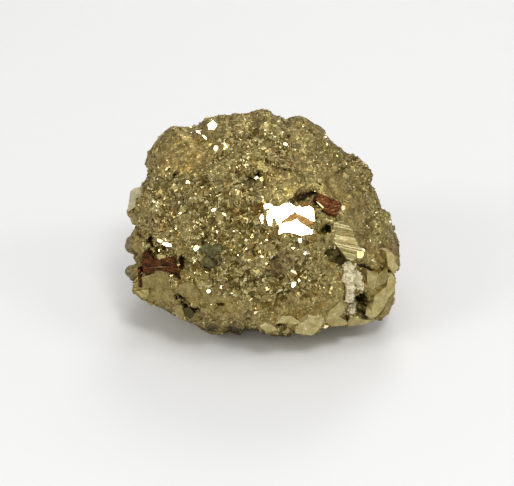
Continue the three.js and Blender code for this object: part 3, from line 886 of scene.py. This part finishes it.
crystals = {  # how many, their edge in mm, and how deep they sit as a share of it
    "flecks": {"shape": "fleck", "count": 30500, "edge": (0.36, 1.3), "sunk": 0, "seed": 21},
    "more flecks": {"shape": "fleck", "count": 30500, "edge": (0.32, 1.05), "sunk": -0.02, "seed": 22},
    "small flecks": {"shape": "fleck", "count": 30500, "edge": (0.28, 0.75), "sunk": -0.04, "seed": 24},
    "cubes": {"shape": "cube", "count": 7000, "edge": (0.5, 1.3), "sunk": 0.36, "seed": 23},
}
habit = {
    "cluster": 2.4,  # mm across a patch that shares a lean
    "together": 0.6,  # share of crystals that follow their patch
    "spread": 8,  # degrees they stray from it
    "lean": (4, 13),  # degrees a quiet fleck leans off the skin, calm to coarse
    "glints": (0.04, 0.6),  # share of flecks that lean far and shine, calm to coarse
    "glintLean": 28,  # degrees
    "flash": 2.1,  # how much glints lean towards the light
    "stretch": (0.65, 1.3),  # shares of the edge that a crystal's sides measure
    "bend": 0.14,  # share of the edge that a fleck's corners stray
    "smallness": 1.8,  # the higher, the more of them are small
    "crowding": (1.15, 0.5, 0.35),  # of flecks, and what a coarse and a calm place lose of it
    "above": 0.6 * mm,  # the height they start at
    "shadedBare": 0.8,  # share of them that is missing where the painted shade is deep
    "bathed": (0.7, 0.97),  # how squarely a place faces the light, from hardly to fully
    "bathedLoss": 0.65,  # share of its glints that such a place loses
    "tone": 0.42,
    "toneSpread": (0.05, 0.19),  # at a calm place, and what a coarse one adds
    "glintTone": (0.68, 1.12),
    "shadeAmount": 0.8,  # share of the skin's painted shade that they take on
}

cubeCorners = np.array([(x, y, z) for x in (-0.5, 0.5) for y in (-0.5, 0.5) for z in (-0.5, 0.5)])
cubeSides = np.array([
    (0, 1, 3), (0, 3, 2), (4, 6, 7), (4, 7, 5), (0, 4, 5), (0, 5, 1),
    (2, 3, 7), (2, 7, 6), (0, 2, 6), (0, 6, 4), (1, 5, 7), (1, 7, 3),
])
fleckCorners = np.array([(-0.6, -0.3, 0), (0.6, -0.3, 0), (0.6, 0.3, 0), (-0.6, 0.3, 0), (0, 0, -0.5)])
fleckSides = np.array([(0, 1, 2), (0, 2, 3), (1, 0, 4), (2, 1, 4), (3, 2, 4), (0, 3, 4)])


def spin(count, rng):
    # turns any way round, as 3 x 3 tables
    w, x, y, z = unit(rng.normal(size=(count, 4))).T
    return np.stack([
        np.stack([1 - 2 * (y * y + z * z), 2 * (x * y - z * w), 2 * (x * z + y * w)], 1),
        np.stack([2 * (x * y + z * w), 1 - 2 * (x * x + z * z), 2 * (y * z - x * w)], 1),
        np.stack([2 * (x * z - y * w), 2 * (y * z + x * w), 1 - 2 * (x * x + y * y)], 1),
    ], 1)


def smallTurn(count, degrees, rng):
    # turns of about this many degrees, as 3 x 3 tables
    x, y, z = (rng.normal(size=(count, 3)) * math.radians(degrees)).T
    table = np.tile(np.eye(3), (count, 1, 1))
    table[:, 0, 1], table[:, 0, 2], table[:, 1, 2] = -z, y, -x
    table[:, 1, 0], table[:, 2, 0], table[:, 2, 1] = z, -y, x
    return table


def fleckTurns(outs, patch, homeLeans, homeRuns, coarseness, glints, rng):
    # turns whose third axis leans off the skin, and whose first runs with the patch
    count = len(outs)
    low, high = habit["lean"]
    lean = np.tan(np.radians(low + (high - low) * coarseness))[:, None]
    own = (rng.random(count) > habit["together"])[:, None]
    shared = np.where(own, rng.normal(size=(count, 3)), homeLeans[patch])
    stray = math.radians(habit["spread"])
    out = outs + shared * lean * 0.75 + rng.normal(size=(count, 3)) * stray * (0.4 + coarseness[:, None])
    far = rng.normal(size=(count, 3)) * math.tan(math.radians(habit["glintLean"])) * 0.7
    pull = np.outer(rng.random(count) * habit["flash"] * coarseness, np.array(flashing))
    out = unit(np.where(glints[:, None], outs + far + pull, out))
    run = np.where(own, rng.normal(size=(count, 3)), homeRuns[patch] + rng.normal(size=(count, 3)) * 0.4)
    first = unit(run - out * (run * out).sum(axis=1, keepdims=True))
    return np.stack([first, np.cross(out, first), out], 2)


def clearOfFaces(spots):
    # which spots are off the flat faces and the rounded lumps
    keep = np.ones(len(spots), bool)
    for face in faces:
        index, height = face.covered(spots, 0.92)
        keep[index[np.abs(height) < faceFit["bare"]]] = False
    for plan in grainLumps.values():
        for middle, radius in ballsOf(plan):
            keep &= np.linalg.norm(spots - np.array(middle), axis=1) > radius * plan["bare"]
    return keep


def addCellMap(mesh, sides, count):
    # a bake map with one small cell for every crystal
    across = math.ceil(math.sqrt(count))
    cell = np.repeat(np.arange(count), sides * 3)
    spot = np.tile(np.array([(0.2, 0.2), (0.8, 0.2), (0.5, 0.8)]), (count * sides, 1))
    places = (np.stack([cell % across, cell // across], 1) + spot) / across
    layer = mesh.uv_layers.new(name="OFBake", do_init=False)
    layer.uv.foreach_set("vector", places.astype(np.float32).ravel())


def crowding(cubic):
    # how thickly crystals stand at every point of the lump
    plain, coarseLoss, calmLoss = habit["crowding"]
    weight = coarse ** 2 if cubic else plain - coarseLoss * coarse - calmLoss * calm
    unshaded = 1 - habit["shadedBare"] * (lumpPaintedShade > 0.5)
    return weight * (lumpPoints[:, 2] > habit["above"]) * unshaded


def makeCrystals(name, plan):
    rng = np.random.default_rng(plan["seed"])
    cubic = plan["shape"] == "cube"
    spots, picked = scatterOn(lumpPoints, skinTriangles, crowding(cubic), plan["count"], rng)
    keep = clearOfFaces(spots)
    spots, own = spots[keep], skinTriangles[picked[keep]]
    count = len(spots)
    outs = unit(lumpOut[own].mean(axis=1))
    size, still, shadeAmount = (values[own].mean(axis=1) for values in (coarse, calm, lumpPaintedShade))
    small, large = plan["edge"]
    edge = small + (large - small) * (0.2 + 0.8 * size) * rng.random(count) ** habit["smallness"]

    # patches that share a lean
    ones = np.ones(len(lumpPoints))
    homes, _ = scatterOn(lumpPoints, skinTriangles, ones, int(skin["area"] / habit["cluster"] ** 2), rng)
    patch = nearestOf(treeOf(homes), spots)
    if cubic:
        shape, sides = cubeCorners, cubeSides
        turns = spin(len(homes), rng)[patch] @ smallTurn(count, habit["spread"], rng)
    else:
        shape, sides = fleckCorners, fleckSides
        low, high = habit["glints"]
        bathed = smoothStep(*habit["bathed"], outs @ np.array(flashing))
        glintShare = (low + (high - low) * size ** 1.5) * (1 - habit["bathedLoss"] * bathed)
        glints = rng.random(count) < glintShare
        leans, runs = rng.normal(size=(2, *homes.shape))
        turns = fleckTurns(outs, patch, leans, runs, size, glints, rng)

    # their corners, cubes square and flecks a little bent
    local = shape[None] * rng.uniform(*habit["stretch"], (count, 1, 3))
    bent = rng.uniform(-habit["bend"], habit["bend"], (count, *shape.shape))
    local = local + bent * (0 if cubic else (1, 1, 0))
    points = np.einsum("nij,npj->npi", turns, local * edge[:, None, None] * mm)
    points += (spots - outs * (edge * plan["sunk"] * mm)[:, None])[:, None]
    points[:, :, 2] = np.maximum(points[:, :, 2], 0.05 * mm)
    triangles = sides[None] + (np.arange(count) * len(shape))[:, None, None]
    mesh = meshFrom(name, points.reshape(-1, 3), triangles.reshape(-1, 3))

    spread, coarseSpread = habit["toneSpread"]
    tone = habit["tone"] + rng.normal(size=count) * (spread + coarseSpread * size)
    if not cubic:
        tone = np.where(glints, rng.uniform(*habit["glintTone"], count), tone)
    layers = {"tone": tone, "rust": rustAt(spots), "calm": still, "grime": shadeAmount * habit["shadeAmount"]}
    for layer, values in layers.items():
        addLayer(mesh, layer, np.repeat(values, len(shape)))
    addCellMap(mesh, len(sides), count)
    print(name + ":", count, "crystals,", len(sides) * count, "triangles")
    return makeObject(name.replace(" ", "_"), mesh)


crust = [makeCrystals(name, plan) for name, plan in crystals.items()]

plateShape = {
    "thick": 1.6 * mm,
    "flare": 1.12,  # how much wider the buried foot is
    "edge": {"mirror_steps": 0.26 * mm},  # width of the worn edge
    "otherEdge": 0.13 * mm,
    "droop": 0.07 * mm,  # how far it falls
    "wander": (2.6, 0.12),  # mm between the points that shape an outline, and how far they stray
    "jag": (0.55, 0.09),
    "fullSize": 2.5 * mm,  # a smaller face than this breaks up less
    "terraces": (0, 3),  # growth steps on one face, from none to two
    "leastStepped": 0.7 * mm,  # a smaller face than this has none
    "terraceBright": (0.8, 1.15),  # shares of the face's own brightness
    "terraceHeight": (0.05 * mm, 0.16 * mm),
    "terraceRoot": 0.3 * mm,  # how far a growth step reaches into its face
    "seed": 31,
}


def jagged(flat, rng, step, jag):
    # an outline with points put in along its sides that stray a little
    found = []
    for a, b in zip(flat, np.roll(flat, -1, axis=0)):
        parts = max(1, int(round(np.linalg.norm(b - a) / (step * mm))))
        for i in range(parts):
            stray = rng.uniform(-jag, jag, 2) * mm if i else 0
            found.append(a + (b - a) * i / parts + stray)
    return np.array(found)


def brokenOutline(flat, rng):
    size = min(1, np.linalg.norm(flat, axis=1).mean() / plateShape["fullSize"])
    step, stray = plateShape["wander"]
    rough = jagged(flat, rng, step, stray * size)
    step, stray = plateShape["jag"]
    return jagged(rough, rng, step, stray * size)


def clipped(flat, normal, limit):
    # the part of an outline where its dot with normal is over limit
    found = []
    for a, b in zip(flat, np.roll(flat, -1, axis=0)):
        da, db = a @ normal - limit, b @ normal - limit
        if da >= 0:
            found.append(a)
        if da * db < 0:
            found.append(a + (b - a) * da / (da - db))
    return np.array(found)


def addBlock(work, ring, foot):
    # a closed block between two rings of points, and its lid
    lid = work.faces.new(ring)
    work.faces.new(foot[::-1])
    for i in range(len(ring)):
        j = (i + 1) % len(ring)
        work.faces.new((ring[j], ring[i], foot[i], foot[j]))
    return lid


def addSlab(work, face, flat, top, bottom, flare, layers, bright):
    # a block with a flat top and a worn edge, wider at the bottom
    ring = [work.verts.new(face.place(a, b, top)) for a, b in flat]
    foot = [work.verts.new(face.place(a * flare, b * flare, bottom)) for a, b in flat]
    lid = addBlock(work, ring, foot)
    edge = plateShape["edge"].get(face.piece, plateShape["otherEdge"])
    bmesh.ops.inset_individual(work, faces=[lid], thickness=edge, use_even_offset=False)
    for point in ring:
        point.co -= face.out * plateShape["droop"]
    for points, worn in ((ring + foot, 1), (lid.verts, 0)):
        for point in points:
            offset = point.co - face.middle
            point[layers["bright"]] = bright
            point[layers["worn"]] = worn
            point[layers["lineAcross"]] = offset.dot(face.level) / mm
            point[layers["lineUp"]] = offset.dot(face.up) / mm


def plateLayers(work):
    return {n: work.verts.layers.float.new(n) for n in ("bright", "worn", "lineAcross", "lineUp")}


def plateMesh(name, work):
    bmesh.ops.triangulate(work, faces=[f for f in work.faces if len(f.verts) > 4])
    mesh = bpy.data.meshes.new(name)
    work.to_mesh(mesh)
    work.free()
    mesh.shade_flat()
    print(name + ":", len(mesh.polygons), "faces")
    return makeObject(name, mesh)


def makePlates(piece):
    rng = np.random.default_rng(plateShape["seed"])
    work = bmesh.new()
    layers = plateLayers(work)
    for face in (f for f in faces if f.piece == piece):
        outline = brokenOutline(face.flat, rng)
        addSlab(work, face, outline, 0, -plateShape["thick"], plateShape["flare"], layers, face.bright)
        reach = np.linalg.norm(face.flat, axis=1).min()
        stepped = reach > plateShape["leastStepped"] and face.bright < 1
        steps = int(rng.integers(*plateShape["terraces"])) if stepped else 0
        run = rng.random() * math.tau
        normal = np.array((math.cos(run), math.sin(run)))
        top, limit = 0, -reach * rng.uniform(0, 0.5)
        for _ in range(steps):
            raised = clipped(face.flat * 0.97, normal, limit)
            top += rng.uniform(*plateShape["terraceHeight"])
            limit += reach * rng.uniform(0.3, 0.9)
            if len(raised) > 2:
                raised = jagged(raised, rng, *plateShape["jag"])
                bright = face.bright * rng.uniform(*plateShape["terraceBright"])
                addSlab(work, face, raised, top, -plateShape["terraceRoot"], 1, layers, bright)
    return plateMesh(piece, work)


plateObjects = {
    piece: makePlates(piece)
    for piece in ("crystal_plates", "mirror_steps", "rusty_crystals", "bright_flecks")
}

striated = {
    "outline": [
        (16, -0.2), (17.5, 0.5), (18.9, 0.4), (19.9, -0.5), (21.2, -1.7), (21.6, -3.5), (22.5, -5.4),
        (23.6, -6.3), (23.8, -7.3), (23.2, -8.4), (21.8, -8.5), (21, -8.9), (19.7, -8.4), (18, -6.1),
        (15.8, -3.5), (15.2, -3), (16, -1.9),
    ],
    "look": (14, 30),
    "proud": 0.8,
    "run": -20,  # degrees the grooves fall towards the right
    "breadth": (0.12, 0.4),  # mm from groove to groove
    "ridge": (0.01, 0.07),  # mm
    "unevenness": 0.06,  # mm that a groove's floor strays
    "thick": 2.4 * mm,
    "flare": 1.06,
    "seed": 41,
}


def makeStriated():
    rng = np.random.default_rng(striated["seed"])
    face = layFace(striated["outline"], direction(*striated["look"]), striated["proud"])
    t = math.radians(striated["run"])
    along, over = np.array((math.cos(t), math.sin(t))), np.array((-math.sin(t), math.cos(t)))
    reach = face.flat @ over
    edges = [reach.min()]
    while edges[-1] < reach.max():
        edges.append(edges[-1] + rng.uniform(*striated["breadth"]) * mm)
    work = bmesh.new()
    layers = plateLayers(work)
    for low, high in zip(edges, edges[1:]):
        strip = clipped(clipped(face.flat, over, low), -over, -high)
        if len(strip) < 3:
            continue
        ridge = rng.uniform(*striated["ridge"]) * mm * rng.choice((-1, 1))
        base = rng.uniform(-striated["unevenness"], striated["unevenness"]) * mm
        tops = [base + ridge * ((p @ over - low) / (high - low) - 0.5) * 2 for p in strip]
        ring = [work.verts.new(face.place(*p, h)) for p, h in zip(strip, tops)]
        foot = [work.verts.new(face.place(*(p * striated["flare"]), -striated["thick"])) for p in strip]
        addBlock(work, ring, foot)
        bright = rng.random()
        for point, spot in zip(ring + foot, list(strip) * 2):
            point[layers["bright"]] = bright
            point[layers["lineAcross"]] = spot @ along / mm
            point[layers["lineUp"]] = spot @ over / mm
    return plateMesh("striated_crystal", work)


striatedCrystal = makeStriated()
print("flat crystals made")

quartz = {  # a stubby clear crystal at the left edge
    "outline": [
        (-31.2, 7.4), (-30.4, 8.2), (-29, 8.3), (-28.6, 6.6), (-29.2, 4.4), (-31.2, 3), (-32, 2.6),
        (-31.6, 4.8),
    ],
    "look": (-26, 24),
    "proud": 0.2,
    "thick": 2.4 * mm,
    "flare": 1.05,
}


def makeQuartz():
    face = layFace(quartz["outline"], direction(*quartz["look"]), quartz["proud"])
    work = bmesh.new()
    addSlab(work, face, face.flat, 0, -quartz["thick"], quartz["flare"], plateLayers(work), face.bright)
    return plateMesh("quartz_grain", work)


quartzGrain = makeQuartz()
print("grains made")


class Wire:
    # a node's socket in a sum: values add Math nodes, vectors and colours Vector Math nodes
    def __init__(self, finish, socket):
        self.finish = finish
        self.socket = socket

    def sum(self, operation, first, second):
        sides = [first, second]
        kind = "ShaderNodeMath"
        if any(isinstance(w, Wire) and w.socket.type in ("VECTOR", "RGBA") for w in sides):
            kind = "ShaderNodeVectorMath"
            sides = [(w,) * 3 if np.isscalar(w) else w for w in sides]
        return self.finish.add(kind, {"operation": operation}, {0: sides[0], 1: sides[1]})

    def __add__(self, other):
        return self.sum("ADD", self, other)

    def __radd__(self, other):
        return self.sum("ADD", other, self)

    def __sub__(self, other):
        return self.sum("SUBTRACT", self, other)

    def __rsub__(self, other):
        return self.sum("SUBTRACT", other, self)

    def __mul__(self, other):
        return self.sum("MULTIPLY", self, other)

    def __rmul__(self, other):
        return self.sum("MULTIPLY", other, self)


class Finish:
    # one material: its nodes, and the shader that they feed
    def __init__(self, name, plain):
        self.material = bpy.data.materials.new(name)
        self.material.use_nodes = True
        self.tree = self.material.node_tree
        self.shader = next(n for n in self.tree.nodes if n.type == "BSDF_PRINCIPLED")
        self.set(self.shader, plain)

    def set(self, node, sockets):
        for name, value in sockets.items():
            if isinstance(value, Wire):
                self.tree.links.new(value.socket, node.inputs[name])
            else:
                node.inputs[name].default_value = value

    def add(self, kind, settings=None, sockets=None, out=0):
        # any node: its settings first, then its sockets' values or wires
        node = self.tree.nodes.new(kind)
        for name, value in (settings or {}).items():
            if name == "stops":
                while len(node.color_ramp.elements) < len(value):
                    node.color_ramp.elements.new(0.5)
                for stop, (spot, colour) in zip(node.color_ramp.elements, value):
                    stop.position = spot
                    stop.color = (*colour, 1)
            else:
                setattr(node, name, value)
        self.set(node, sockets or {})
        return Wire(self, node.outputs[out])

    def layer(self, name):
        return self.add("ShaderNodeAttribute", {"attribute_name": name}, out="Fac")

    def grain(self, spacing, detail=3, stretch=None):
        # noise whose lumps are this many mm apart, stretched along x, y and z by request
        place = self.add("ShaderNodeTexCoord", out="Object")
        if stretch:
            place = place * stretch
        return self.add("ShaderNodeTexNoise", sockets={
            "Vector": place, "Scale": 1 / (spacing * mm), "Detail": detail, "Roughness": 0.6}, out="Fac")

    def ramp(self, wire, stops):
        return self.add("ShaderNodeValToRGB", {"stops": stops}, {"Fac": wire})

    def step(self, wire, low, high):
        # 0 under low, 1 over high
        return self.add("ShaderNodeMapRange", {"interpolation_type": "SMOOTHSTEP"}, {
            "Value": wire, "From Min": low, "From Max": high})

    def blend(self, share, first, second):
        # two colours, wires or red, green and blue: the Mix node's colour sockets are 6, 7 and out 2
        first, second = ((*c, 1) if isinstance(c, tuple) else c for c in (first, second))
        return self.add("ShaderNodeMix", {"data_type": "RGBA"}, {0: share, 6: first, 7: second}, out=2)

    def bump(self, height, strength, distance):
        return self.add("ShaderNodeBump", sockets={
            "Strength": strength, "Distance": distance * mm, "Height": height})

    def finish(self, **wires):
        self.set(self.shader, {name.replace("_", " "): wire for name, wire in wires.items()})
        return self.material


metal = {  # the sulphide's colours, dark to bright, and the tints that lie over them
    "stops": [(0.0, (0.12, 0.092, 0.031)), (0.35, (0.29, 0.228, 0.083)), (0.62, (0.46, 0.375, 0.152)),
              (0.85, (0.63, 0.54, 0.26)), (1.0, (0.86, 0.77, 0.47))],
    "tan": (0.92, 0.72, 0.5),
    "green": (0.86, 0.92, 0.68),
    "rust": (0.16, 0.08, 0.03),
    "grime": (0.035, 0.026, 0.014),
}


def crustFinish():
    f = Finish("crust metal", {"Metallic": 1.0, "Specular IOR Level": 0.5})
    tone, grime, rust = f.layer("tone"), f.layer("grime"), f.layer("rust")
    grain, speck, calm = f.grain(0.7, detail=4), f.grain(0.28, detail=2), f.layer("calm")
    shade = tone * 0.85 + (grain - 0.5) * 0.4 + (speck - 0.5) * (calm * 0.5 + 0.2)
    colour = f.ramp(shade + calm * 0.06 + 0.07, metal["stops"])
    warm = f.step(f.grain(4.2, detail=2), 0.5, 0.68)
    cool = f.step(f.grain(6.5, detail=2, stretch=(1, 1, 1.4)), 0.52, 0.7)
    colour = f.blend(warm * 0.55 + calm * 0.3, colour, colour * metal["tan"])
    colour = f.blend(cool * 0.4, colour, colour * metal["green"])
    stained = f.step(rust + (f.grain(0.9) - 0.5) * 0.8, 0.3, 0.8)
    colour = f.blend(stained * 0.7, colour, metal["rust"])
    # painted shade: hollows, pits and dark spots are blended towards near black
    colour = f.blend(f.step(grime, 0.1, 0.95) * 0.92, colour, metal["grime"])
    dull = grime * 0.5 + stained * 0.35
    return f.finish(
        Base_Color=colour,
        Roughness=0.53 - tone * 0.34 + (grain - 0.5) * 0.2 + dull * 0.5,
        Metallic=1 - stained * 0.5 - f.step(grime, 0.5, 1) * 0.6,
        Normal=f.bump(f.grain(0.16, detail=2), 0.35, 0.03),
    )


def fineLines(f, along, over):
    # noise in the face's own plane, long one way
    place = f.add("ShaderNodeCombineXYZ", sockets={
        0: f.layer("lineAcross") * along, 1: f.layer("lineUp") * over})
    return f.add("ShaderNodeTexNoise", {"noise_dimensions": "2D"}, {
        "Vector": place, "Scale": 1.0, "Detail": 3.0}, out="Fac")


def plateFinish():
    f = Finish("cleaved metal", {"Metallic": 1.0})
    bright, worn = f.layer("bright"), f.layer("worn")
    lines = fineLines(f, 0.5, 4)
    blotch, fine = f.grain(1.7, detail=3), f.grain(0.35, detail=2)
    speck = f.grain(0.16, detail=1)
    tone = bright * 0.95 + (blotch - 0.5) * 0.85 + (fine - 0.5) * 0.75 + (speck - 0.5) * 0.5
    tone = tone + (lines - 0.5) * 0.4 + (f.grain(2.6, detail=2) - 0.26) * worn * 0.9
    colour = f.ramp(tone, metal["stops"])
    spots = f.step(f.grain(0.7, detail=3), 0.6, 0.72)
    colour = f.blend(spots * 0.45, colour, (0.13, 0.09, 0.04))
    colour = f.blend(f.step(bright, 0, -0.3), colour, (0.085, 0.065, 0.03))
    return f.finish(
        Base_Color=colour,
        Roughness=0.36 + (blotch - 0.5) * 0.3 + spots * 0.15,
        Normal=f.bump(lines * 0.5 + fine * 0.6 + blotch, 0.5, 0.05),
    )


def mirrorFinish():
    f = Finish("mirror metal", {"Metallic": 1.0})
    dull = 1 - f.step(f.layer("bright"), 0.35, 0.8)
    worn = f.step(f.grain(0.8, detail=4) + f.layer("worn") * 0.24 + dull, 0.62, 0.7)
    brown = f.ramp(f.grain(0.5, detail=3), [
        (0.3, (0.1, 0.045, 0.012)), (0.5, (0.24, 0.13, 0.04)), (0.7, (0.44, 0.29, 0.12))])
    colour = f.blend(worn, (0.94, 0.79, 0.45), brown)
    # an orange painted highlight fringe along the mirrors' bevelled edges
    colour = f.blend(f.step(f.layer("worn"), 0.1, 0.8) * 0.8, colour, (0.86, 0.5, 0.2))
    return f.finish(
        Base_Color=colour,
        Roughness=0.14 + worn * 0.26,
        Normal=f.bump(f.grain(1.4, detail=2), 0.5, 0.06),
    )


def fleckFinish():
    f = Finish("bright fleck", {"Metallic": 1.0})
    speck = f.grain(0.6, detail=3)
    colour = f.ramp(speck - f.layer("worn") * 0.2, [(0.35, (0.42, 0.32, 0.14)), (0.6, (0.74, 0.64, 0.4))])
    return f.finish(Base_Color=colour, Roughness=0.2 + speck * 0.16, Normal=f.bump(speck, 0.4, 0.05))


def striatedFinish():
    f = Finish("grooved metal", {"Metallic": 1.0})
    bright = f.layer("bright")
    lines = fineLines(f, 0.35, 7)
    rough = f.grain(0.35, detail=3)
    colour = f.ramp(bright * 0.26 + lines * 0.8 + (rough - 0.5) * 0.8, [
        (0.2, (0.2, 0.165, 0.055)), (0.45, (0.4, 0.34, 0.14)), (0.65, (0.62, 0.54, 0.27)),
        (0.85, (0.9, 0.84, 0.56))])
    reddish = f.step(f.grain(2.2, detail=2), 0.56, 0.66)
    return f.finish(
        Base_Color=f.blend(reddish * 0.3, colour, colour * (0.9, 0.66, 0.4)),
        Roughness=0.26 + lines * 0.2,
        Normal=f.bump(lines + rough * 0.6, 0.8, 0.06),
    )


def rustFinish():
    f = Finish("rusty skin", {"Specular IOR Level": 0.1})
    lines = fineLines(f, 0.4, 3.4)
    fleck = f.grain(0.5, detail=4)
    shade = (f.layer("bright") - 0.4) * 0.6 - f.layer("worn") * 0.14
    colour = f.ramp(lines * 0.8 + fleck * 0.85 - 0.3 + shade, [
        (0.36, (0.022, 0.008, 0.002)), (0.52, (0.095, 0.03, 0.007)), (0.66, (0.19, 0.064, 0.014)),
        (0.8, (0.36, 0.19, 0.07))])
    return f.finish(
        Base_Color=colour,
        Roughness=0.5 + fleck * 0.3,
        Metallic=f.step(lines + fleck, 1.1, 1.3) * 0.6,
        Normal=f.bump(lines * 0.6 + fleck, 0.5, 0.06),
    )


def chalkFinish():
    f = Finish("pale matrix", {"Specular IOR Level": 0.35, "Subsurface Weight": 0.1,
                               "Subsurface Radius": (0.5 * mm, 0.4 * mm, 0.3 * mm)})
    tone = f.layer("tone")
    colour = f.ramp(tone * 0.5 + f.grain(0.8, detail=4) * 0.6, [
        (0.2, (0.4, 0.33, 0.17)), (0.45, (0.64, 0.56, 0.35)), (0.7, (0.84, 0.78, 0.55))])
    return f.finish(
        Base_Color=colour,
        Roughness=0.75 + tone * 0.15,
        Normal=f.bump(f.grain(0.25, detail=3), 0.5, 0.06),
    )


def grainFinish(name, rough, stops):
    f = Finish(name, {"Specular IOR Level": 0.2})
    tone = f.layer("tone")
    speck = f.grain(0.5, detail=4)
    return f.finish(
        Base_Color=f.ramp(tone * 0.3 + speck * 0.8, stops),
        Roughness=rough + (speck - 0.5) * 0.3,
        Metallic=f.step(f.grain(0.45, detail=2), 0.62, 0.7) * 0.8,
        Normal=f.bump(speck, 0.4, 0.05),
    )


def quartzFinish():
    f = Finish("clouded quartz", {"IOR": 1.54, "Transmission Weight": 0.3})
    cloud = f.grain(1.4, detail=3)
    return f.finish(
        Base_Color=f.ramp(cloud, [(0.35, (0.44, 0.39, 0.2)), (0.65, (0.78, 0.7, 0.42))]),
        Roughness=0.16 + cloud * 0.2,
        Normal=f.bump(f.grain(0.5), 0.3, 0.05),
    )


def dress(piece, material):
    piece.data.materials.clear()
    piece.data.materials.append(material)
    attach(piece, "root")


crustMetal = crustFinish()
for piece in (lump, *crust):
    dress(piece, crustMetal)
dress(plateObjects["crystal_plates"], plateFinish())
dress(plateObjects["mirror_steps"], mirrorFinish())
dress(plateObjects["bright_flecks"], fleckFinish())
dress(striatedCrystal, striatedFinish())
dress(plateObjects["rusty_crystals"], rustFinish())
dress(grainObjects["pale_matrix"], chalkFinish())
dress(grainObjects["grey_grains"], grainFinish("grey grain", 0.6, [
    (0.3, (0.05, 0.044, 0.014)), (0.55, (0.115, 0.1, 0.035)), (0.75, (0.2, 0.175, 0.075))]))
dress(grainObjects["smooth_nodules"], grainFinish("nodule skin", 0.5, [
    (0.3, (0.09, 0.07, 0.032)), (0.55, (0.19, 0.15, 0.07)), (0.75, (0.3, 0.25, 0.12))]))
dress(quartzGrain, quartzFinish())
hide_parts("pyrite_mass")
print("finishes laid on")

studio = {
    "floor": 0.62,  # radius of the flat part in m
    "wall": 1.15,
    "height": 0.9,
    "paper": (0.86, 0.86, 0.85),
    "air": (0.25, 0.25, 0.255),
    "wallGlow": 0.26,
    "sides": 96,
    "bends": 12,
}


def makeBackdrop():
    # a round floor that curves up into a wall all round
    work = bmesh.new()
    sides, bends, bend = studio["sides"], studio["bends"], studio["wall"] - studio["floor"]
    profile = []
    for i in range(bends + 1):
        angle = math.pi / 2 * i / bends
        profile.append((studio["floor"] + bend * math.sin(angle), bend * (1 - math.cos(angle))))
    profile.append((studio["wall"], studio["height"]))
    centre = work.verts.new((0, 0, 0))
    turns = [math.tau * i / sides for i in range(sides)]
    rings = [[work.verts.new((radius * math.cos(turn), radius * math.sin(turn), up)) for turn in turns]
             for radius, up in profile]
    for i in range(sides):
        j = (i + 1) % sides
        work.faces.new((centre, rings[0][i], rings[0][j]))
        for low, high in zip(rings, rings[1:]):
            work.faces.new((low[i], high[i], high[j], low[j]))
    mesh = bpy.data.meshes.new("paper_backdrop")
    work.to_mesh(mesh)
    work.free()
    mesh.shade_smooth()
    addLayer(mesh, "height", placesOf(mesh)[:, 2])
    backdrop = makeObject("paper_backdrop", mesh)
    f = Finish("paper", {"Roughness": 0.9, "Specular IOR Level": 0.1, "Base Color": (*studio["paper"], 1),
                         "Emission Strength": studio["wallGlow"]})
    f.finish(Emission_Color=f.ramp(f.layer("height"), [(0.0, (0, 0, 0)), (0.3, (1, 1, 1))]))
    backdrop.data.materials.append(f.material)
    backdrop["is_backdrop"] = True


def makeLights():
    for name, plan in lights.items():
        lamp = bpy.data.lights.new(name, "AREA")
        lamp.shape = "SQUARE"
        lamp.size = plan["side"]
        lamp.energy = plan["glow"] * math.pi * plan["side"] ** 2
        light = bpy.data.objects.new(name, lamp)
        away = direction(plan["around"], plan["up"])
        light.location = heart + away * plan["away"]
        light.rotation_euler = away.to_track_quat("Z", "Y").to_euler()
        bpy.context.scene.collection.objects.link(light)
    world = bpy.data.worlds.new("studio air")
    world.use_nodes = True
    world.node_tree.nodes["Background"].inputs["Color"].default_value = (*studio["air"], 1)
    bpy.context.scene.world = world
    bpy.context.scene.view_settings.view_transform = "Standard"


makeBackdrop()
makeLights()
print("studio set up")

total = sum(len(o.data.loop_triangles) for o in bpy.data.objects if o.type == "MESH" and o.visible_get())
boxes = {"cad": [list(c) for c in cadBox], "visual": [list(c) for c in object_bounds()]}
print("triangles:", total, "visual box:", boxes["visual"])
